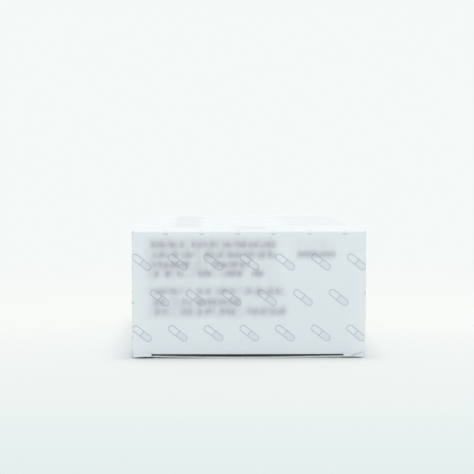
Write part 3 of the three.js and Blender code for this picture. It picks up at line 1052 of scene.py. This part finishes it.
def pressed_foil():
    material, tree, shader = new_material("pressed_foil")
    flat = add(tree, "ShaderNodeAttribute", attribute_name="flat").outputs["Vector"]
    parts = add(tree, "ShaderNodeSeparateXYZ", {0: flat}).outputs
    turns = 2 * math.pi / FOIL_GRID
    waves = [maths(tree, "SINE", maths(tree, "MULTIPLY", parts[axis], turns)) for axis in ("X", "Y")]
    dent = noise(tree, flat, 0.5, 3.0)
    grid = bump(tree, maths(tree, "ADD", *waves), 0.35, 0.04 * MM)
    tone = mix_colours(tree, dent, srgb(196, 199, 202), srgb(222, 224, 226))
    tree.links.new(tone, shader.inputs["Base Color"])
    tree.links.new(bump(tree, dent, 0.5, 0.4 * MM, grid), shader.inputs["Normal"])
    shader.inputs["Metallic"].default_value = 1.0
    shader.inputs["Roughness"].default_value = 0.34
    return material


foil = pressed_foil()
print("foil:", len(foil.node_tree.nodes), "nodes, a grid of", FOIL_GRID, "mm")

# %% [markdown]
# ## The shape of a pack
# The base foil is pressed into deep round pockets, and a thin lid foil is sealed flat across the back. A
# pocket's wall leaves the web in a small curve and runs up to a crown that is almost flat. A height that
# depends only on the distance from the pocket's middle gives that shape, and it is used on the same kind
# of filled outline as the board. Rings of points round each pocket keep it round.

# %% Pockets
PACK_LOW, PACK_HIGH = (np.array(corner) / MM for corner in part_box("blister_left_1"))
PACK_HALF = (PACK_HIGH - PACK_LOW)[:2] / 2
PACK_HEIGHT = float((PACK_HIGH - PACK_LOW)[2])
WEB = 0.5
POCKET = 8.2
CROWN = 5.2
CROWN_RISE = 0.35
POCKETS = [
    (column * (PACK_HALF[0] - 1.8 - POCKET), row / 2 * (PACK_HALF[1] - 3.9 - POCKET))
    for column in (-1, 1) for row in (-2, -1, 0, 1, 2)
]


def pocket_height(x, y):
    """The pack's upper surface above its back, from the distance to the nearest pocket's middle."""
    distance = np.min([np.hypot(x - cx, y - cy) for cx, cy in POCKETS], axis=0)
    wall = np.clip((POCKET - distance) / (POCKET - CROWN), 0, 1)
    side = wall * wall * (3 - 2 * wall)
    crown = CROWN_RISE * (1 - np.clip(distance / CROWN, 0, 1) ** 2)
    return WEB + (PACK_HEIGHT - WEB - CROWN_RISE) * side + crown


print("pockets:", len(POCKETS), "each", 2 * POCKET, "mm wide, in a pack", round(PACK_HEIGHT, 1), "mm high")

# %% Pack mesh
PACK_CORNER = 3.5
RINGS = (1.8, 3.5, 5.2, 5.7, 6.2, 6.7, 7.2, 7.7, 8.2)


def pack_blank():
    outline = []
    for sx, sy, start in ((1, -1, -90), (1, 1, 0), (-1, 1, 90), (-1, -1, 180)):
        cx, cy = sx * (PACK_HALF[0] - PACK_CORNER), sy * (PACK_HALF[1] - PACK_CORNER)
        outline += arc(cx, cy, PACK_CORNER, start, start + 90, 7)
    points = list(POCKETS)
    for radius in RINGS:
        for a in np.linspace(0, 2 * math.pi, 40, endpoint=False):
            points += [(cx + radius * math.cos(a), cy + radius * math.sin(a)) for cx, cy in POCKETS]
    return flat_blank(outline, np.array([]), np.array([]), points)


def press_pack(s, t, face):
    """The pressed base foil at face 0 and the flat lid foil at face 1."""
    z = pocket_height(s, t) if face == 0 else np.zeros(len(s))
    return np.stack([s, t, z], axis=1)


pack_mesh = sheet_mesh("foil_pack", pack_blank(), press_pack, [foil] * 3)

# %% [markdown]
# All ten packs are alike, so they share one mesh, and each object only puts it in its own place. That
# keeps the file small and makes the packs as equal as if one tool had pressed them.

# %% Place the packs
def place_packs():
    for node in sorted(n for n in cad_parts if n.startswith("blister")):
        low, high = (np.array(corner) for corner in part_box(node))
        piece = bpy.data.objects.new(node.replace("blister", "foil_pack"), pack_mesh)
        bpy.context.collection.objects.link(piece)
        piece.location = ((low[0] + high[0]) / 2, (low[1] + high[1]) / 2, low[2])
        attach(piece, "carton")
        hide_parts(node)


place_packs()
print("objects that share the pack's mesh:", pack_mesh.users)

# %% [markdown]
# ## Leaflet paper
# The leaflet is thin uncoated paper with close lines of print on both sides, which read as grey bands at
# this size. The bands come from the flat place: its fraction along the sheet gives the lines, and a
# stretched noise breaks them up. A weak bump from the cloudy noise gives the paper its tooth.

# %% Paper material
LINE_PITCH = 2.4


def leaflet_paper():
    material, tree, shader = new_material("leaflet_paper")
    flat = add(tree, "ShaderNodeAttribute", attribute_name="flat").outputs["Vector"]
    cloud = noise(tree, flat, 1.5, 4.0)
    down = add(tree, "ShaderNodeSeparateXYZ", {0: flat}).outputs["Y"]
    line = maths(tree, "FRACT", maths(tree, "DIVIDE", down, LINE_PITCH))
    band = ramp(tree, maths(tree, "ABSOLUTE", maths(tree, "SUBTRACT", line, 0.5)), 0.28, 0.18)
    stretch = add(tree, "ShaderNodeMapping", {"Vector": flat, "Scale": (0.9, 0.4, 1.0)}).outputs[0]
    strokes = ramp(tree, noise(tree, stretch, 1.2, 1.0), 0.4, 0.55)
    ink = maths(tree, "MULTIPLY", maths(tree, "MULTIPLY", band, strokes), 0.4)
    sheet = mix_colours(tree, cloud, srgb(240, 240, 236), srgb(248, 248, 245))
    tree.links.new(mix_colours(tree, ink, sheet, srgb(120, 124, 132)), shader.inputs["Base Color"])
    tree.links.new(bump(tree, cloud, 0.3, 0.03 * MM), shader.inputs["Normal"])
    shader.inputs["Roughness"].default_value = 0.8
    return material


paper = leaflet_paper()
print("paper:", len(paper.node_tree.nodes), "nodes")

# %% [markdown]
# ## The folded leaflet
# The leaflet is one long sheet of thin paper, folded to and fro into a flat stack under the packs. Its
# plies part a little between the folds, because paper springs back. The rigid model's outline is kept,
# and a path through all the plies, drawn once, is carried across the sheet's width.

# %% Leaflet
PLIES = 7
PAPER = 0.16
leaflet_low, leaflet_high = (np.array(corner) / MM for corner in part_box("leaflet"))


def leaflet_path():
    """To and fro through the plies, with a round turn at each end."""
    bottom = leaflet_low[2]
    pitch = (leaflet_high[2] - bottom - PAPER) / (PLIES - 1)
    straight = leaflet_high[1] - (pitch + PAPER) / 2
    path = Path(straight, bottom, 270)
    for ply in range(PLIES):
        front = ply % 2 == 0
        side = -straight if front else straight
        path.line(side, bottom + ply * pitch + (0 if front else PAPER))
        middle = bottom + (ply + 0.5) * pitch + PAPER / 2
        if ply < PLIES - 1 and front:
            path.turn(side, middle, (pitch + PAPER) / 2, -180, 8)
        elif ply < PLIES - 1:
            path.turn(side, middle, (PAPER - pitch) / 2, 180, 8)
    return path.finish()


def build_leaflet():
    path = leaflet_path()
    half = leaflet_high[0]
    outline = [(-half, 0.0), (half, 0.0), (half, path.at[-1]), (-half, path.at[-1])]

    def fold(s, t, face):
        y, z, *_ = path.place(t, face * PAPER)
        return np.stack([s, y, z], axis=1)

    blank = flat_blank(outline, spaced([-half, half], 8), path.at)
    mesh = sheet_mesh("leaflet_sheet", blank, fold, [paper] * 3)
    piece = place_sheet("leaflet_sheet", mesh, "carton", ["leaflet"])
    return piece


build_leaflet()
